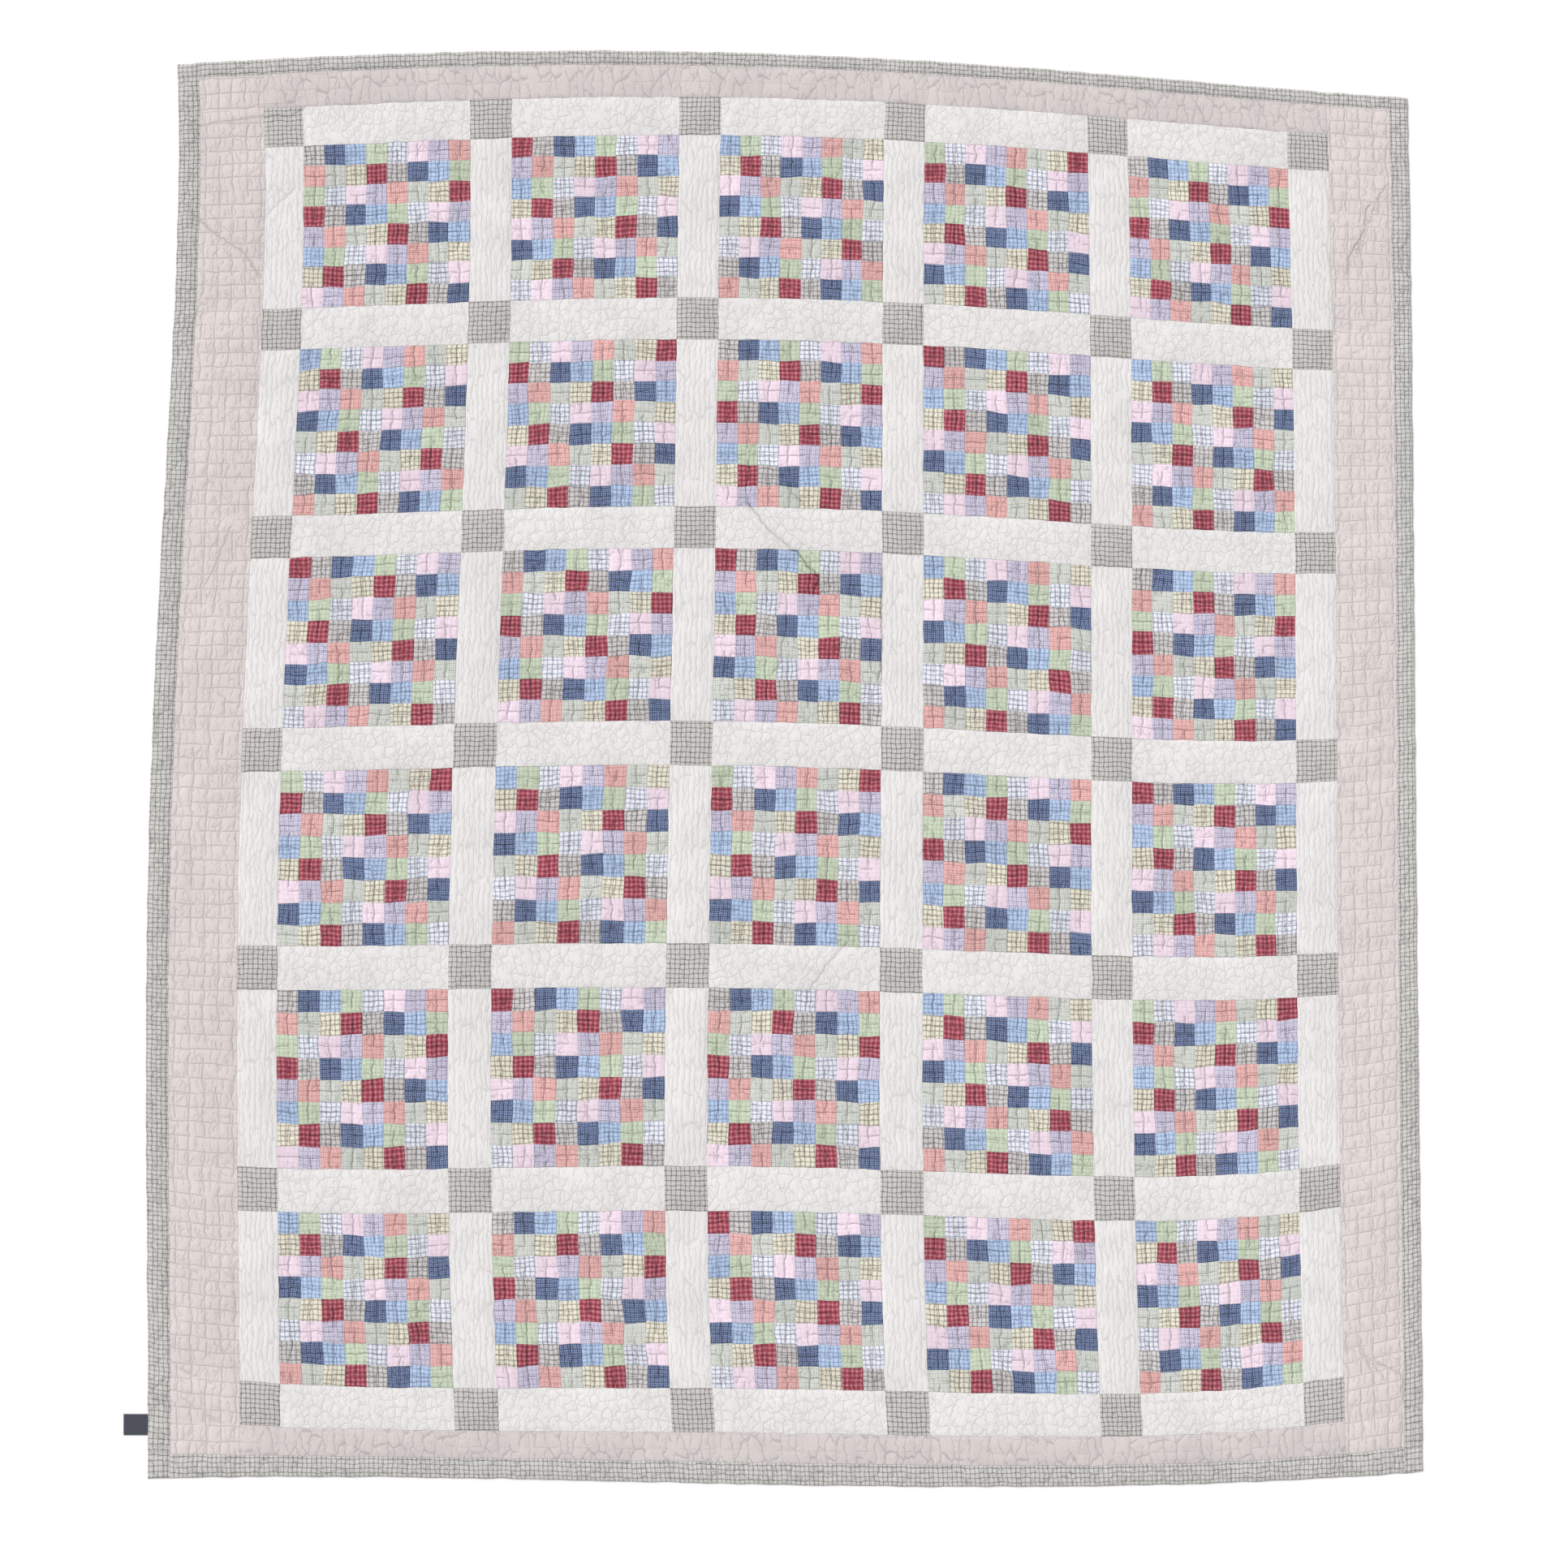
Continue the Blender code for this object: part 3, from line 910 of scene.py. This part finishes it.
def patch_weave(luck, patch_u, patch_v, sash, start, at):
    """Each corner's place in its own cotton, turned and offset patch by patch, and its shade."""
    turned = luck.uniform(-TURN, TURN, (PATCHES, PATCHES))[patch_v, patch_u]
    offset = luck.uniform(0, OFFSETS_MM, (PATCHES, PATCHES, 2))[patch_v, patch_u]
    shade = luck.uniform(-1, 1, (PATCHES, PATCHES))[patch_v, patch_u]
    centre = (start + (np.stack([patch_u, patch_v], axis=1) + 0.5) * PATCH) / MM
    cloth = np.zeros((len(at), 3))
    cloth[:, :2] = at
    count = 4 * len(sash)
    x, y = (at[:count] - np.repeat(centre, 4, axis=0)).T
    cos, sin = np.repeat(np.cos(turned), 4), np.repeat(np.sin(turned), 4)
    spun = np.stack([x * cos - y * sin, x * sin + y * cos], axis=1) + np.repeat(offset, 4, axis=0)
    held = np.repeat(sash, 4)
    cloth[:count, :2] = np.where(held[:, None], at[:count], spun)
    cloth[:count, 2] = np.where(held, 0.0, np.repeat(shade, 4))
    return cloth


def make_block(row, column):
    """A block of patches with the sash strip at its left, and in the last column at its right."""
    u_lines, v_lines, u_start, v_start = block_lines(row, column)
    luck = np.random.default_rng(SEED + 10 * row + column + 1)
    jog = patch_jog(luck, u_start, v_start)
    name = f"block_{row + 1}_{column + 1}"
    mesh, rows, columns, corners, pattern = cloth_mesh(name, u_lines, v_lines, jog)
    middle_u = (u_lines[columns] + u_lines[columns + 1]) / 2
    middle_v = (v_lines[rows] + v_lines[rows + 1]) / 2
    patch_u = np.clip(np.floor((middle_u - u_start) / PATCH).astype(int), 0, PATCHES - 1)
    patch_v = np.clip(np.floor((middle_v - v_start) / PATCH).astype(int), 0, PATCHES - 1)
    sash = (middle_u < u_start) | (middle_u > u_start + BLOCK)
    cloths = (BLOCK_STARTS[row][column] + ROW_STEP * patch_v + patch_u) % len(PATCH_COTTONS)
    indices = np.where(sash, len(PATCH_COTTONS), cloths)
    start = np.array([u_start, v_start])
    cloth = patch_weave(luck, patch_u, patch_v, sash, start, pattern[corners, :2])
    finish_piece(name, mesh, patch_cottons + [white_long, backing], indices, cloth,
                 block_trees)


def make_strip(name, u_panels, v_panels, cottons, trees):
    """A strip of one cotton, or a sash row with its check corner squares."""
    u_lines = strip_lines(U_SEAMS, *u_panels)
    v_lines = strip_lines(V_SEAMS, *v_panels)
    mesh, rows, columns, corners, pattern = cloth_mesh(name, u_lines, v_lines)
    middle = (u_lines[columns] + u_lines[columns + 1]) / 2
    panel, _, _ = seam_shares(U_SEAMS, middle)
    if len(cottons) == 1:
        panel = np.zeros_like(panel)
    cloth = np.zeros((len(corners), 3))
    cloth[:, :2] = pattern[corners, :2]
    count = 4 * len(rows)
    luck = np.random.default_rng(SEED + len(name) + 7 * u_panels[0] + 13 * v_panels[0])
    offsets = luck.uniform(0, OFFSETS_MM, (len(U_SEAMS), 2))
    cloth[:count, :2] += np.repeat(offsets[panel], 4, axis=0)
    finish_piece(name, mesh, cottons + [backing], panel % 2, cloth, trees)


for row in range(ROWS):
    for column in range(COLUMNS):
        make_block(row, column)

last_u = len(U_SEAMS) - 2
last_v = len(V_SEAMS) - 2
for row in range(ROWS + 1):
    make_strip(f"sash_row_{row + 1}", (2, last_u - 2), (2 + 2 * row, 2 + 2 * row),
               [corner_check, white_cells], sash_trees)

# Borders and binding: name, u panels, v panels, cotton, relief, slot
EDGE_PIECES = (
    ("border_left", (1, 1), (1, last_v - 1), pink_left, left_tree, "pink_border"),
    ("border_right", (last_u - 1, last_u - 1), (1, last_v - 1), pink_right, right_tree, "pink_border"),
    ("border_top", (2, last_u - 2), (1, 1), pink_end, end_tree, "pink_border"),
    ("border_bottom", (2, last_u - 2), (last_v - 1, last_v - 1), pink_end, end_tree, "pink_border"),
    ("binding_left", (0, 0), (0, last_v), binding_check, binding_tree, "plaid_binding"),
    ("binding_right", (last_u, last_u), (0, last_v), binding_check, binding_tree, "plaid_binding"),
    ("binding_top", (1, last_u - 1), (0, 0), binding_check, binding_tree, "plaid_binding"),
    ("binding_bottom", (1, last_u - 1), (last_v, last_v), binding_check, binding_tree, "plaid_binding"),
)
for name, u_panels, v_panels, cloth, tree, slot in EDGE_PIECES:
    make_strip(name, u_panels, v_panels, [cloth], [tree])


def label_path():
    """The ribbon's middle line, out from the edge, round the fold and back, and its normals."""
    straight = np.linspace(0.0, LABEL_LENGTH - LABEL_FOLD, LABEL_STEPS)
    turn = np.linspace(-math.pi / 2, math.pi / 2, LABEL_TURN_STEPS)[1:-1]
    low = np.full(LABEL_STEPS, -LABEL_FOLD)
    reach = np.concatenate([straight, straight[-1] + LABEL_FOLD * np.cos(turn), straight[::-1]])
    level = np.concatenate([low, LABEL_FOLD * np.sin(turn), -low])
    path = np.stack([reach, level + LABEL_FOLD + LABEL_PLY / 2 + LABEL_LIFT], axis=1)
    ahead = np.gradient(path, axis=0)
    ahead /= np.linalg.norm(ahead, axis=1)[:, None]
    return path, np.stack([-ahead[:, 1], ahead[:, 0]], axis=1)


def label_faces(count):
    """The faces of the ribbon's two sides and of its rim, for this many points along the path."""
    side = count * LABEL_ROWS
    faces = []
    for across in range(LABEL_ROWS - 1):
        for step in range(count - 1):
            first = across * count + step
            quad = (first, first + 1, first + count + 1, first + count)
            faces.append(quad)
            faces.append(tuple(side + corner for corner in reversed(quad)))
    rim = list(range(count))
    rim += [across * count + count - 1 for across in range(1, LABEL_ROWS)]
    rim += [(LABEL_ROWS - 1) * count + step for step in range(count - 2, -1, -1)]
    rim += [across * count for across in range(LABEL_ROWS - 2, 0, -1)]
    for first, second in zip(rim, rim[1:] + rim[:1]):
        faces.append((second, first, side + first, side + second))
    return faces


def label_mesh():
    """The closed mesh of the folded ribbon, squared to the edge where it comes out."""
    v_place = V_SEAMS[-1] - LABEL_FROM_BOTTOM
    ends = [np.array(lie(np.array([-GAP / 2]), np.array([v_place + side * LABEL_WIDTH / 2]))).ravel()
            for side in (-1, 1)]
    middle = (ends[0] + ends[1]) / 2 + SHIFT
    along = (ends[1] - ends[0]) / np.linalg.norm(ends[1] - ends[0])
    out = np.array([along[1], -along[0]])
    path, normal = label_path()
    points = []
    woven = []
    for layer in (-1, 1):
        curve = path + normal * layer * LABEL_PLY / 2
        for width in np.linspace(-0.5, 0.5, LABEL_ROWS) * LABEL_WIDTH:
            for step, (reach, level) in enumerate(curve):
                points.append((*(middle + out * reach + along * width), level))
                woven.append((width / MM, step * LABEL_STEP_MM, 0.0))
    mesh = bpy.data.meshes.new("label")
    mesh.from_pydata(points, [], label_faces(len(path)))
    mesh.update()
    shape = bmesh.new()
    shape.from_mesh(mesh)
    bmesh.ops.recalc_face_normals(shape, faces=shape.faces[:])
    shape.to_mesh(mesh)
    shape.free()
    write(mesh, "woven", "POINT", woven)
    return mesh


def label_ribbon():
    """Navy ribbon with a ribbed satin weave and a paler selvedge along both sides."""
    material, net, shader = new_material("navy_ribbon")
    width, run, _ = net.split(net.attribute("woven"))
    slub = net.noise(net.join(net.product(width, 0.1), run), 0.8, 2.0)
    half_width = LABEL_WIDTH / MM / 2
    off = net.maths("ABSOLUTE", width)
    selvedge = net.ramp(off, half_width - SELVEDGE_IN, half_width - SELVEDGE_OUT)
    colour = net.blend(net.product(selvedge, 0.35), linear(NAVY_LABEL), linear(LABEL_SELVEDGE))
    factor = net.maths("MULTIPLY_ADD", slub, 0.4, 0.72)
    net.tree.links.new(net.scaled(colour, factor), shader.inputs["Base Color"])
    ribs = net.maths("SINE", net.product(run, 2 * math.pi / RIB_MM))
    bumped(net, shader, net.maths("ADD", net.product(ribs, 0.03), net.product(slub, 0.06)))
    net.tree.links.new(net.maths("MULTIPLY_ADD", slub, 0.2, 0.45), shader.inputs["Roughness"])
    shader.inputs["Sheen Weight"].default_value = 0.1
    return material


def make_label():
    """The blank label: a woven ribbon folded back on itself, its two cut ends under the edge."""
    mesh = label_mesh()
    mesh.materials.append(label_ribbon())
    mesh.shade_smooth()
    mesh.set_sharp_from_angle(angle=SHARP_EDGE)
    label = bpy.data.objects.new("label_ribbon", mesh)
    bpy.context.scene.collection.objects.link(label)
    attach(label, "root")
    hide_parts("label")


make_label()

# The floor, a plain plane just under the quilt
floor_mesh = bpy.data.meshes.new("floor")
half = FLOOR_SIZE / 2
floor_corners = [(x * half, y * half, -FLOOR_DROP) for x, y in ((-1, -1), (1, -1), (1, 1), (-1, 1))]
floor_mesh.from_pydata(floor_corners, [], [(0, 1, 2, 3)])
floor = bpy.data.objects.new("floor", floor_mesh)
bpy.context.scene.collection.objects.link(floor)
paint, _, paint_shader = new_material("floor_paint")
paint_shader.inputs["Base Color"].default_value = (FLOOR_TONE, FLOOR_TONE, FLOOR_TONE, 1.0)
paint_shader.inputs["Roughness"].default_value = 0.9
floor_mesh.materials.append(paint)

scene = bpy.context.scene
scene.view_settings.view_transform = "Standard"
world = bpy.data.worlds.new("studio")
world.use_nodes = True
sky = world.node_tree.nodes["Background"]
sky.inputs["Color"].default_value = (1.0, 1.0, 1.0, 1.0)
sky.inputs["Strength"].default_value = FILL_STRENGTH
scene.world = world

lamp_data = bpy.data.lights.new("softbox", "SUN")
lamp_data.angle = LAMP_SPREAD
lamp_data.energy = LAMP_STRENGTH
lamp = bpy.data.objects.new("softbox", lamp_data)
lamp.rotation_euler = (math.pi / 2 - LAMP_ELEVATION, 0.0, LAMP_BEARING)
scene.collection.objects.link(lamp)

# A weak second lamp brightens the right edge a little
side_data = bpy.data.lights.new("side_fill", "AREA")
side_data.size = SIDE_FILL["size"]
side_data.energy = SIDE_FILL["power"]
side_data.color = SIDE_FILL["colour"]
side = bpy.data.objects.new("side_fill", side_data)
side.location = SIDE_FILL["place"]
side.rotation_euler.y = math.atan2(SIDE_FILL["place"][0], SIDE_FILL["place"][2])
scene.collection.objects.link(side)

camera_data = bpy.data.cameras.new("camera")
camera_data.sensor_width = SENSOR_MM
camera_data.lens = SENSOR_MM * CAMERA_HEIGHT / VIEW_WIDTH
camera_data.dof.use_dof = False
camera = bpy.data.objects.new("camera", camera_data)
camera.location = (*VIEW_CENTRE, CAMERA_HEIGHT)
scene.collection.objects.link(camera)
scene.camera = camera
